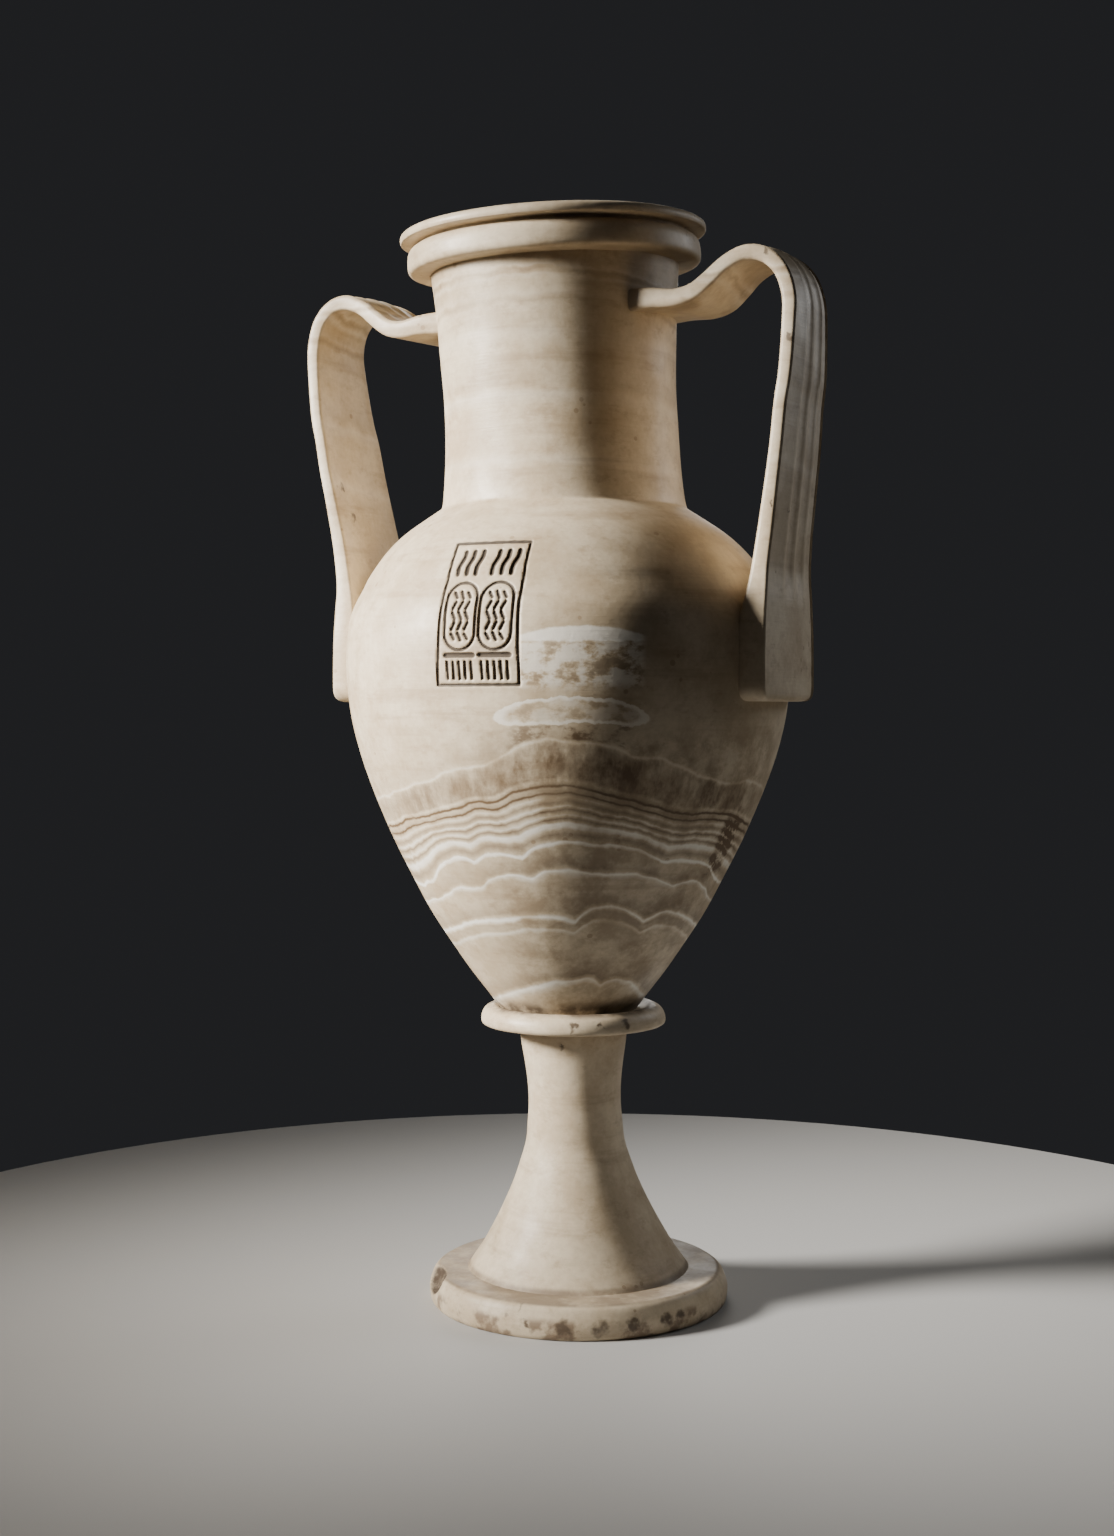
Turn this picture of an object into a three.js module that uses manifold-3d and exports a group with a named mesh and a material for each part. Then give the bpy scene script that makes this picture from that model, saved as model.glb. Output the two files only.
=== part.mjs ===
// A two-handled stone amphora on a tall foot. Millimetres, +Z up, +X through the two handles.
// The origin is the centre of the foot's flat underside. The inscribed panel faces -Y.
import * as THREE from "three";
import { mergeVertices } from "three/addons/utils/BufferGeometryUtils.js";
import Module from "manifold-3d";

// Foot: a round disc, a flared stem and a collar.
const discRadius = 92;
const discHeight = 20;
const discEdgeRound = 6;
const discUnderRound = 2.5;
const flareRadius = 68;
const stemRadius = 28.5;
const stemTopRadius = 33.5;
const stemHeight = 150;
const collarRadius = 56.7;
const collarTopRadius = 50;
const collarHeight = 12.3;

// Seat of the vessel in the collar: the lower end stands in a shallow recess with a fine joint round it.
const seatDepth = 2.5;
const seatRadius = 42;
const seatGap = 0.3;
const jointWidth = 0.9;

// Vessel: body from the seat to the crease under the neck, then neck and double lip.
const bodyHeight = 304;
const bodyRadius = 136;
const creaseRadius = 76.5;
const neckHeight = 144.3;
const neckWaistRadius = 70.6;
const neckTopRadius = 75;
const neckSwell = 1;
const neckFootFlare = 3;
const creaseCut = 1.5;
const creaseLift = 1;
const lowerRingRadius = 88.6;
const lowerRingHeight = 16.3;
const lipGrooveHeight = 2;
const lipGrooveRadius = 83;
const upperRingRadius = 92.2;
const upperRingHeight = 7;
const mouthFlare = 4;

// Walls of the hollow.
const bodyWall = 14;
const neckWall = 11;
const floorThickness = 34;
const floorDish = 1.5;

// Strap handles: out of the neck, over an arch, down to a blunt end on the widest part of the body.
const handleReach = 157.5;
const handleRise = 116.6;
const archRise = 20.5;
const legDrop = 175;
const padHeight = 57.5;
const padStandOut = 7.5;
const padSink = 9.5;
const rootSink = 7.5;
const strapThickness = 9;
const strapHalfWidth = 35;
const padHalfWidth = 44;
const strapBow = 2.4;
const fluteDepth = 2;
const strapSteps = 30;

// The carving stands a little crooked, as the old piece does: [towards +X, towards +Y].
const footDrift = [-0.018, -0.0085];
const bodyShift = [-2.5, -1.2];
const neckLean = [-0.018, -0.065];
const leanBelowCrease = 48;

// Panel of shallow strokes between the handles.
const panelTurn = 3.6;
const panelHalfWidth = 25;
const panelTopHalfWidth = 22.8;
const panelHeight = 80;
const panelBelowCrease = 27;
const ovalHalfWidth = 9.6;
const ovalHalfHeight = 18.8;
const ovalGap = 2.4;
const ovalSteps = 14;
const strokeWidth = 2.2;
const strokeDepth = 1.1;
const strokeReach = 2.6;

// A knock in the disc's upper edge.
const chipTurn = -54;
const chipLength = 22;
const chipDepth = 10;
const chipHeight = 13;

// Facets round a turned form, and the detail below which facets are merged.
const roundSteps = 44;
const finest = 0.03;

// Heights that follow.
const collarTop = discHeight + stemHeight + collarHeight;
const seatLevel = collarTop - seatDepth;
const bodyBase = seatLevel + seatGap;
const crease = bodyBase + bodyHeight;
const neckTop = crease + neckHeight;
const lowerRingTop = neckTop + lowerRingHeight;
const grooveTop = lowerRingTop + lipGrooveHeight;
const lipTop = grooveTop + upperRingHeight;

const wasm = await Module();
wasm.setup();

function solidFrom(geometry) {
  const bare = new THREE.BufferGeometry();
  bare.setAttribute("position", geometry.getAttribute("position"));
  bare.setIndex(geometry.getIndex());
  const merged = mergeVertices(bare, 1e-4);
  const index = merged.index.array;
  const triVerts = [];
  for (let i = 0; i < index.length; i += 3) {
    const [a, b, c] = [index[i], index[i + 1], index[i + 2]];
    if (a !== b && b !== c && a !== c) triVerts.push(a, b, c);
  }
  const mesh = new wasm.Mesh({
    numProp: 3,
    vertProperties: merged.attributes.position.array,
    triVerts: new Uint32Array(triVerts),
  });
  return new wasm.Manifold(mesh);
}

function geometryFrom(solid) {
  const mesh = solid.getMesh();
  const geometry = new THREE.BufferGeometry();
  geometry.setAttribute("position", new THREE.BufferAttribute(mesh.vertProperties, 3));
  geometry.setIndex(new THREE.BufferAttribute(mesh.triVerts, 1));
  return geometry;
}

function turned(profile) {
  const points = profile.map(([radius, height]) => new THREE.Vector2(radius, height));
  return solidFrom(new THREE.LatheGeometry(points, roundSteps).rotateX(Math.PI / 2));
}

// Points of a smooth outline through [radius, height] knots.
function outline(knots, steps) {
  const curve = new THREE.SplineCurve(knots.map(([r, z]) => new THREE.Vector2(r, z)));
  return curve.getSpacedPoints(steps).map((p) => [p.x, p.y]);
}

// A ring between two heights: nearly flat below, a blunt face, and rounded off at the top.
const ringShares = [
  [0, 0],
  [0.05, 0.8],
  [0.24, 1],
  [0.6, 0.98],
  [0.88, 0.74],
  [1, 0.3],
];
function ring(fromRadius, fromHeight, toRadius, toHeight, bulge) {
  return ringShares.map(([up, out]) => {
    const base = fromRadius + (toRadius - fromRadius) * up;
    return [base + (bulge - base) * out, fromHeight + (toHeight - fromHeight) * up];
  });
}

// Body outline in shares of its height and greatest radius.
const bodyKnots = [
  [seatRadius, bodyBase],
  ...[
    [0.365, 0.034],
    [0.436, 0.075],
    [0.501, 0.1165],
    [0.62, 0.198],
    [0.7155, 0.28],
    [0.804, 0.361],
    [0.88, 0.442],
    [0.94, 0.522],
    [0.982, 0.6025],
    [1, 0.697],
    [0.982, 0.784],
    [0.913, 0.85],
    [0.865, 0.8835],
    [0.793, 0.923],
    [0.706, 0.957],
  ].map(([r, z]) => [bodyRadius * r, bodyBase + bodyHeight * z]),
  [creaseRadius, crease],
];
const bodyLine = outline(bodyKnots, 18);

const neckKnots = [
  [creaseRadius - creaseCut, crease + creaseLift],
  [neckWaistRadius + neckFootFlare, crease + neckHeight * 0.06],
  [neckWaistRadius + neckSwell, crease + neckHeight * 0.22],
  [neckWaistRadius, crease + neckHeight * 0.45],
  [neckWaistRadius + neckSwell, crease + neckHeight * 0.66],
  [(neckWaistRadius + neckTopRadius) / 2, crease + neckHeight * 0.84],
  [neckTopRadius, neckTop],
];
const neckLine = outline(neckKnots, 6);

const lowerRing = ring(neckTopRadius, neckTop, lipGrooveRadius, lowerRingTop, lowerRingRadius);
const upperRing = ring(lipGrooveRadius, grooveTop, lipGrooveRadius, lipTop, upperRingRadius);
const shell = [
  [0, bodyBase],
  ...bodyLine,
  ...neckLine,
  ...lowerRing.slice(1),
  [lipGrooveRadius, lowerRingTop],
  ...upperRing,
  [0, lipTop],
];

// The hollow follows the outside at the wall's thickness.
function inset(line, wall) {
  return line.slice(1, -1).map(([r, z], i) => {
    const [before, after] = [line[i], line[i + 2]];
    const along = new THREE.Vector2(after[0] - before[0], after[1] - before[1]).normalize();
    return [r - along.y * wall, z + along.x * wall];
  });
}
const floorLevel = bodyBase + floorThickness;
const bodyHollow = inset(bodyLine, bodyWall).filter(([, z]) => z > floorLevel + bodyWall / 2);
const neckHollow = inset(neckLine, neckWall);
const mouthRadius = neckTopRadius - neckWall;
const hollow = [
  [0, floorLevel],
  [bodyHollow[0][0] * 0.7, floorLevel + floorDish],
  ...bodyHollow.filter((_, i) => i % 2 === 0),
  ...neckHollow,
  [mouthRadius, neckTop],
  [mouthRadius, grooveTop],
  [mouthRadius + mouthFlare, lipTop],
  [mouthRadius + mouthFlare, lipTop + upperRingHeight],
  [0, lipTop + upperRingHeight],
];

// Straight-line radius of the body's outside at a height.
function bodyRadiusAt(height) {
  const i = Math.max(1, bodyLine.findIndex(([, z]) => z >= height));
  const [[r0, z0], [r1, z1]] = [bodyLine[i - 1], bodyLine[i]];
  return r0 + ((r1 - r0) * (height - z0)) / (z1 - z0);
}

// A closed skin over a row of equal loops of points, with flat ends unless the row closes on itself.
function skin(loops, closed) {
  const size = loops[0].length;
  const count = loops.length;
  const index = [];
  for (let i = 0; i < (closed ? count : count - 1); i++) {
    for (let j = 0; j < size; j++) {
      const next = (i + 1) % count;
      const [a, b] = [i * size + j, i * size + ((j + 1) % size)];
      const [c, d] = [next * size + ((j + 1) % size), next * size + j];
      index.push(a, b, c, a, c, d);
    }
  }
  if (!closed) {
    const last = (count - 1) * size;
    for (let j = 1; j < size - 1; j++) {
      index.push(0, j + 1, j, last, last + j, last + j + 1);
    }
  }
  const geometry = new THREE.BufferGeometry();
  geometry.setAttribute("position", new THREE.Float32BufferAttribute(loops.flat(2), 3));
  geometry.setIndex(index);
  return solidFrom(geometry);
}

// The strap's centre line: [radius, height, half width, thickness].
const strapLevel = crease + handleRise;
const strapStart = neckWaistRadius - rootSink;
const legTop = strapLevel - archRise;
const padTop = strapLevel - legDrop;
const padMiddle = bodyRadius + (padStandOut - padSink) / 2;
const padThickness = padStandOut + padSink;
const overArch = [
  [0, 0.02, 1, 1.45],
  [0.14, 0.02, 1, 1.3],
  [0.28, -0.04, 0.97, 1.15],
  [0.4, 0.07, 0.93, 1.1],
  [0.505, 0.4, 0.88, 1.05],
  [0.61, 0.78, 0.84, 1],
  [0.735, 1, 0.81, 1],
  [0.86, 0.88, 0.79, 1],
  [0.955, 0.43, 0.79, 1],
  [1, -0.24, 0.8, 1],
].map(([r, z, width, thickness]) => [
  strapStart + r * (handleReach - strapStart),
  strapLevel + z * archRise,
  width * strapHalfWidth,
  thickness * strapThickness,
]);
const downLeg = [
  [0, 0, 0.85, 0.95],
  [0.1, 0.176, 0.93, 0.92],
  [0.23, 0.286, 0.97, 0.9],
  [0.355, 0.428, 1, 0.91],
  [0.5, 0.558, 1.01, 0.96],
  [0.7, 0.733, 1.03, 1.08],
  [0.85, 0.882, 1.1, 1.2],
].map(([r, z, width, thickness]) => [
  handleReach + r * (padMiddle - handleReach),
  legTop - z * (legTop - padTop),
  width * strapHalfWidth,
  thickness * strapThickness,
]);
const onBody = [
  [0, 0.94, 0.83],
  [0.25, 0.98, 1],
  [0.6, 1, 1],
  [1, 1, 1],
].map(([down, width, thickness]) => [
  padMiddle + ((1 - thickness) * padThickness) / 2,
  padTop - down * padHeight,
  width * padHalfWidth,
  thickness * padThickness,
]);
const strapKnots = [...overArch, ...downLeg, ...onBody];

// The outer face is bowed: a broad strip, two flutes and a narrower strip. The inner face is plain.
const fluteShares = [
  [-0.93, 0],
  [-0.38, 0],
  [-0.16, 1],
  [0.08, 0],
  [0.34, 1],
  [0.6, 0],
  [0.93, 0],
];
function strapSection(radius, height, tilt, halfWidth, thickness, side) {
  const out = new THREE.Vector2(Math.cos(tilt), Math.sin(tilt));
  const place = (across, depth) => [
    side * (radius + out.x * depth),
    side * across * halfWidth,
    height + out.y * depth,
  ];
  const half = thickness / 2;
  return [
    ...fluteShares.map(([across, flute]) =>
      place(across, half + strapBow * (0.5 - across * across) - flute * fluteDepth)),
    place(1, half - strapThickness * 0.16),
    place(1, strapThickness * 0.2 - half),
    place(0.9, -half),
    place(-0.9, -half),
    place(-1, strapThickness * 0.2 - half),
    place(-1, half - strapThickness * 0.16),
  ].reverse();
}

function handle(side) {
  const along = new THREE.CatmullRomCurve3(
    strapKnots.map(([r, z]) => new THREE.Vector3(r, 0, z)),
    false,
    "catmullrom",
  );
  const sizes = new THREE.CatmullRomCurve3(
    strapKnots.map(([, , width, thickness]) => new THREE.Vector3(width, thickness, 0)),
    false,
    "catmullrom",
  );
  const loops = [];
  for (let i = 0; i <= strapSteps; i++) {
    const share = i / strapSteps;
    const at = along.getPoint(share);
    const way = along.getTangent(share);
    const size = sizes.getPoint(share);
    const tilt = Math.atan2(way.x, -way.z);
    loops.push(strapSection(at.x, at.z, tilt, size.x, size.y, side));
  }
  return skin(loops, false);
}

// A groove of the panel along points [across, height] on the body's face.
function groove(points, closed) {
  const loops = points.map(([across, height], i) => {
    const before = points[closed ? (i + points.length - 1) % points.length : Math.max(0, i - 1)];
    const after = points[closed ? (i + 1) % points.length : Math.min(points.length - 1, i + 1)];
    const way = new THREE.Vector2(after[0] - before[0], after[1] - before[1]).normalize();
    const edge = (side, lift) => {
      const u = across - way.y * side;
      const z = height + way.x * side;
      const face = bodyRadiusAt(z);
      const turn = u / face + THREE.MathUtils.degToRad(panelTurn);
      const radius = face + lift;
      return [radius * Math.sin(turn), -radius * Math.cos(turn), z];
    };
    const half = strokeWidth / 2;
    const floor = half * 0.4;
    return [
      edge(half * 1.6, strokeDepth),
      edge(-half * 1.6, strokeDepth),
      edge(-floor, -strokeDepth),
      edge(floor, -strokeDepth),
    ];
  });
  return skin(loops, closed);
}

function stretch(from, to, steps) {
  const points = [];
  for (let i = 0; i < steps; i++) {
    const share = i / steps;
    points.push([from[0] + (to[0] - from[0]) * share, from[1] + (to[1] - from[1]) * share]);
  }
  return points;
}

const panelTop = crease - panelBelowCrease;
const panelBottom = panelTop - panelHeight;
const ovalMiddle = panelBottom + panelHeight * 0.477;
const ovalOffset = ovalHalfWidth + ovalGap / 2;

function panelGrooves() {
  const corners = [
    [-panelHalfWidth, panelBottom],
    [panelHalfWidth, panelBottom],
    [panelTopHalfWidth, panelTop],
    [-panelTopHalfWidth, panelTop],
  ];
  const frame = corners.flatMap((corner, i) => stretch(corner, corners[(i + 1) % 4], i % 2 ? 8 : 5));
  const grooves = [groove(frame, true)];
  for (const middle of [-ovalOffset, ovalOffset]) {
    const oval = [];
    for (let i = 0; i < ovalSteps; i++) {
      const turn = (2 * Math.PI * i) / ovalSteps;
      const square = (v) => Math.sign(v) * Math.abs(v) ** 0.8;
      oval.push([
        middle + ovalHalfWidth * square(Math.cos(turn)),
        ovalMiddle + ovalHalfHeight * square(Math.sin(turn)),
      ]);
    }
    grooves.push(groove(oval, true));
    const base = ovalMiddle - ovalHalfHeight - strokeWidth * 1.6;
    grooves.push(groove([[middle - ovalHalfWidth, base], [middle + ovalHalfWidth, base]], false));
    for (const row of [-0.55, 0, 0.55]) {
      const level = ovalMiddle + row * ovalHalfHeight;
      for (const place of [-0.36, 0.36]) {
        const at = middle + place * ovalHalfWidth;
        const slant = strokeWidth * (row === 0 ? -0.8 : 0.8);
        const [low, high] = [level - strokeReach, level + strokeReach];
        grooves.push(groove([[at - slant, low], [at + slant, high]], false));
      }
    }
    for (const place of [-0.7, -0.23, 0.23, 0.7]) {
      const at = middle + place * ovalHalfWidth;
      const low = panelBottom + strokeWidth * 2;
      grooves.push(groove([[at, low], [at, base - strokeWidth * 2.4]], false));
      const top = panelTop - strokeWidth * 2.4;
      const lean = strokeWidth / 2;
      grooves.push(groove([[at + lean, top], [at - lean, top - panelHeight * 0.15]], false));
    }
  }
  return grooves;
}

// Foot profile from the centre of the underside to the centre of the collar's top.
const flareKnots = [
  [1, 0],
  [0.848, 0.057],
  [0.744, 0.099],
  [0.567, 0.183],
  [0.407, 0.266],
  [0.263, 0.349],
  [0.147, 0.432],
  [0.053, 0.515],
  [0.02, 0.6],
  [0, 0.68],
].map(([wide, up]) => [
  stemRadius + wide * (flareRadius - stemRadius),
  discHeight + up * stemHeight,
]);
const stemKnots = [
  [0.08, 0.763],
  [0.38, 0.847],
  [0.76, 0.929],
  [1, 1],
].map(([wide, up]) => [
  stemRadius + wide * (stemTopRadius - stemRadius),
  discHeight + up * stemHeight,
]);
const flareLine = outline([...flareKnots, ...stemKnots], 12);

// Collar: flat underneath, fullest low down and rounded off towards the top.
const collarUnder = discHeight + stemHeight;
const collarEdge = [
  [0.35, 0],
  [0.88, 0.09],
  [1, 0.29],
  [0.88, 0.6],
  [0.55, 0.85],
  [0, 1],
].map(([out, up]) => [
  collarTopRadius + out * (collarRadius - collarTopRadius),
  collarUnder + up * collarHeight,
]);
const footProfile = [
  [0, 0],
  [discRadius - discUnderRound, 0],
  [discRadius - discUnderRound * 0.25, discUnderRound],
  [discRadius, discHeight * 0.45],
  [discRadius - discEdgeRound * 0.25, discHeight * 0.72],
  [discRadius - discEdgeRound, discHeight],
  ...flareLine,
  ...collarEdge,
  [0, collarTop],
];
const recessRadius = bodyRadiusAt(collarTop) + Math.hypot(...bodyShift) + jointWidth;
const recess = [
  [0, seatLevel],
  [recessRadius - jointWidth, seatLevel],
  [recessRadius, collarTop],
  [recessRadius, collarTop + seatDepth],
  [0, collarTop + seatDepth],
];

function chip() {
  const lump = new THREE.SphereGeometry(1, 9, 6);
  lump.scale(chipLength, chipDepth, chipHeight);
  lump.rotateZ(THREE.MathUtils.degToRad(chipTurn));
  const turn = THREE.MathUtils.degToRad(chipTurn);
  lump.translate(discRadius * Math.sin(turn), -discRadius * Math.cos(turn), discHeight);
  return solidFrom(lump);
}

// The upright form drifts with the foot, stands straight along the body and leans with the neck.
function crooked(geometry, onFoot) {
  const place = geometry.getAttribute("position");
  const start = crease - leanBelowCrease;
  for (let i = 0; i < place.count; i++) {
    const [x, y, z] = [place.getX(i), place.getY(i), place.getZ(i)];
    const drift = Math.min(z, collarTop);
    const shift = onFoot ? [0, 0] : bodyShift;
    const above = Math.max(0, z - start);
    const turn = THREE.MathUtils.smoothstep(z, crease, crease + neckHeight / 2);
    place.setXYZ(
      i,
      x + footDrift[0] * drift + shift[0] + neckLean[0] * above,
      y + footDrift[1] * drift + shift[1] + neckLean[1] * above,
      z - turn * (neckLean[0] * x + neckLean[1] * y),
    );
  }
  return geometry;
}

let vessel = turned(shell).add(handle(1)).add(handle(-1)).subtract(turned(hollow));
for (const cut of panelGrooves()) vessel = vessel.subtract(cut);
vessel = vessel.asOriginal().simplify(finest);
const foot = turned(footProfile).subtract(turned(recess)).subtract(chip()).asOriginal().simplify(finest);

const group = new THREE.Group();
const vesselStone = new THREE.MeshStandardMaterial({ color: 0xe3d3b4, roughness: 0.42 });
const vesselMesh = new THREE.Mesh(crooked(geometryFrom(vessel), false), vesselStone);
vesselMesh.name = "vessel";
group.add(vesselMesh);

const footStone = new THREE.MeshStandardMaterial({ color: 0xdccaa8, roughness: 0.5 });
const footMesh = new THREE.Mesh(crooked(geometryFrom(foot), true), footStone);
footMesh.name = "foot";
group.add(footMesh);

export default group;
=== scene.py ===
import bpy
import math
import numpy as np
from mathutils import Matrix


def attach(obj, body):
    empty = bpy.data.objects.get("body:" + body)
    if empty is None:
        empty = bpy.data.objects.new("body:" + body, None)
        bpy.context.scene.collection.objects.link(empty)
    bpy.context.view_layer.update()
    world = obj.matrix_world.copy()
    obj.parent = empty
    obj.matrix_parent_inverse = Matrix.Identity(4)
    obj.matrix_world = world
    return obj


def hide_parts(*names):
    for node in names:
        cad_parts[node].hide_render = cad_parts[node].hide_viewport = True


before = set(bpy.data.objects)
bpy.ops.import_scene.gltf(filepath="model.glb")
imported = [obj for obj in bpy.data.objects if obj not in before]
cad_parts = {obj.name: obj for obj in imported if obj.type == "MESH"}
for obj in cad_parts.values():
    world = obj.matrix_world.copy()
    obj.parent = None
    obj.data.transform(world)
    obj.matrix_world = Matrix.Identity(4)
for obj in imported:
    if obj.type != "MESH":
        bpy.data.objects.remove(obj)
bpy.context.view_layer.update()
print("frame loaded")

# All sizes below are in millimetres, and meshes are turned to metres when they are made.
# +X runs through the two handles, -Y is the side with the panel.

footValues = {
    "discRadius": 92, "discHeight": 20, "discEdgeRound": 6, "discUnderRound": 2.5,
    "flareRadius": 68, "stemRadius": 28.5, "stemTopRadius": 33.5, "stemHeight": 150,
    "collarRadius": 56.7, "collarTopRadius": 50, "collarHeight": 12.3,
    "seatDepth": 2.5, "jointWidth": 0.9,
    "chipTurn": -54, "chipSize": (22, 10, 13), "chipRoughness": 1.0,
    "handWobble": 0.22,
}
vesselValues = {
    "seatRadius": 42, "seatGap": 0.3, "bodyHeight": 304, "bodyRadius": 136, "creaseRadius": 76.5,
    "neckHeight": 144.3, "neckWaistRadius": 70.6, "neckTopRadius": 75,
    "lowerRingRadius": 88.6, "lowerRingHeight": 16.3, "grooveHeight": 2, "grooveRadius": 82,
    "upperRingRadius": 92.2, "upperRingHeight": 7, "mouthFlare": 4,
    "bodyWall": 14, "neckWall": 11, "floorThickness": 34, "floorDish": 1.5,
    "handWobble": 0.3,
}
handleValues = {
    "reach": 157.5, "rise": 116.6, "archRise": 20.5, "legDrop": 175, "padHeight": 57.5,
    "padStandOut": 7.5, "padSink": 9.5, "rootSink": 7.5, "thickness": 9, "halfWidth": 35,
    "padHalfWidth": 44, "bow": 2.4, "fluteDepth": 2.0, "edgeRound": 2.6, "endRound": 3.5, "cornerRound": 9, "loops": 118,
}
panelValues = {
    "turn": 3.6, "halfWidth": 25, "topHalfWidth": 22.8, "height": 80, "belowCrease": 27,
    "ovalHalfWidth": 9.6, "ovalHalfHeight": 18.8, "ovalGap": 2.4,
    "lineWidth": 2.0, "lineDepth": 1.15, "meshStep": 0.76,
}
leanValues = {  # how crooked the old piece stands: [towards +X, towards +Y]
    "footDrift": (-0.018, -0.0085), "bodyShift": (-2.5, -1.2),
    "neckLean": (-0.018, -0.065), "belowCrease": 48,
}

collarUnder = footValues["discHeight"] + footValues["stemHeight"]
collarTop = collarUnder + footValues["collarHeight"]
seatLevel = collarTop - footValues["seatDepth"]
bodyBase = seatLevel + vesselValues["seatGap"]
crease = bodyBase + vesselValues["bodyHeight"]
neckTop = crease + vesselValues["neckHeight"]
lowerRingTop = neckTop + vesselValues["lowerRingHeight"]
grooveTop = lowerRingTop + vesselValues["grooveHeight"]
lipTop = grooveTop + vesselValues["upperRingHeight"]


# --- shape helpers
def smoothLine(knots, perSpan=24, extend=False):
    knots = np.array(knots, float)
    first = 2 * knots[0] - knots[1] if extend else knots[0]
    last = 2 * knots[-1] - knots[-2] if extend else knots[-1]
    points = np.vstack([first, knots, last])
    share = (np.arange(perSpan) / perSpan)[:, None]
    spans = []
    for a, b, c, d in zip(points, points[1:], points[2:], points[3:]):
        leave, arrive = (c - a) / 2, (d - b) / 2
        spans.append(
            (2 * b - 2 * c + leave + arrive) * share**3
            + (3 * c - 3 * b - 2 * leave - arrive) * share**2
            + leave * share
            + b
        )
    return np.vstack(spans + [knots[-1:]])


def respaced(line, spacingAt):  # spreads points along a line with a chosen gap at each place
    middle = (line[1:] + line[:-1]) / 2
    lengths = np.linalg.norm(np.diff(line, axis=0), axis=1)
    weight = lengths / np.array([spacingAt(r, z) for r, z in middle])
    along = np.concatenate([[0], np.cumsum(weight)])
    wanted = np.linspace(0, along[-1], int(round(along[-1])) + 1)
    return np.stack([np.interp(wanted, along, line[:, k]) for k in range(2)], 1)


def smoothStep(value, low, high):
    share = np.clip((value - low) / (high - low), 0, 1)
    return share * share * (3 - 2 * share)


def waviness(points, size, seed):  # soft unevenness between -1 and 1
    chance = np.random.default_rng(seed)
    total = np.zeros(points.shape[:-1])
    for _ in range(9):
        way = chance.normal(size=3)
        way *= 2 * math.pi * chance.uniform(0.6, 1.7) / (size * np.linalg.norm(way))
        total += np.sin(points @ way + chance.uniform(0, 2 * math.pi))
    return total / 5


def ring(fromRadius, fromHeight, toRadius, toHeight, bulge):  # nearly flat below, blunt face, rounded top
    shares = smoothLine([
        (0, 0), (0.02, 0.5), (0.05, 0.84), (0.13, 0.96), (0.3, 1), (0.58, 0.98), (0.76, 0.9), (0.9, 0.7), (1, 0.3),
    ], 8)
    up, out = shares[:, 0], shares[:, 1]
    base = fromRadius + (toRadius - fromRadius) * up
    return np.stack([base + (bulge - base) * out, fromHeight + (toHeight - fromHeight) * up], 1)


def turnedGrid(rows, turns):
    radius, height = rows[:, :1], rows[:, 1:]
    x, y = radius * np.sin(turns), -radius * np.cos(turns)
    return np.stack([x, y, np.broadcast_to(height, x.shape)], -1)


def crooked(points, onFoot):
    x, y, z = points[..., 0], points[..., 1], points[..., 2]
    drift = np.minimum(z, collarTop)
    shift = (0, 0) if onFoot else leanValues["bodyShift"]
    lean = leanValues["neckLean"]
    above = np.maximum(0, z - crease + leanValues["belowCrease"])
    turn = smoothStep(z, crease, crease + vesselValues["neckHeight"] / 2)
    return np.stack([
        x + leanValues["footDrift"][0] * drift + shift[0] + lean[0] * above,
        y + leanValues["footDrift"][1] * drift + shift[1] + lean[1] * above,
        z - turn * (lean[0] * x + lean[1] * y),
    ], -1)


class Skin:  # gathers grids of points into one mesh
    def __init__(self):
        self.points, self.faces, self.fill, self.count = [], [], [], 0

    def addGrid(self, grid, startPoint=None, endPoint=None, fill=None):
        rows, columns = grid.shape[:2]
        first = self.count
        index = first + np.arange(rows * columns).reshape(rows, columns)
        beside = np.roll(index, -1, 1)
        quads = np.stack([index[:-1], beside[:-1], beside[1:], index[1:]], -1).reshape(-1, 4)
        self.faces += quads.tolist()
        self.points.append(grid.reshape(-1, 3))
        self.fill.append(np.zeros(rows * columns) if fill is None else fill.reshape(-1))
        self.count += rows * columns
        for point, row, inward in ((startPoint, index[0], True), (endPoint, index[-1], False)):
            if point is None:
                continue
            self.points.append(np.array([point], float))
            self.fill.append(np.zeros(1))
            for a, b in zip(row, np.roll(row, -1)):
                self.faces.append([self.count, b, a] if inward else [self.count, a, b])
            self.count += 1

    def makeObject(self, name, sharpAngle):
        mesh = bpy.data.meshes.new(name)
        mesh.from_pydata((np.vstack(self.points) / 1000).tolist(), [], self.faces)
        mesh.validate()
        fill = mesh.attributes.new("fill", "FLOAT", "POINT")
        fill.data.foreach_set("value", np.concatenate(self.fill).astype(np.float32))
        mesh.shade_smooth()
        mesh.set_sharp_from_angle(angle=math.radians(sharpAngle))
        made = bpy.data.objects.new(name, mesh)
        bpy.context.scene.collection.objects.link(made)
        print(name, len(mesh.vertices), "points", len(mesh.polygons), "faces")
        return made


# --- the vessel's outline
def bodyOutline():
    v = vesselValues
    shares = [
        (0.365, 0.034), (0.436, 0.075), (0.501, 0.1165), (0.62, 0.198), (0.7155, 0.28),
        (0.804, 0.361), (0.88, 0.442), (0.94, 0.522), (0.982, 0.6025), (1, 0.697),
        (0.982, 0.784), (0.913, 0.85), (0.865, 0.8835), (0.793, 0.923), (0.706, 0.957),
    ]
    knots = [(v["seatRadius"], bodyBase)]
    knots += [(v["bodyRadius"] * r, bodyBase + v["bodyHeight"] * z) for r, z in shares]
    return smoothLine(knots + [(v["creaseRadius"], crease)])


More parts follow.
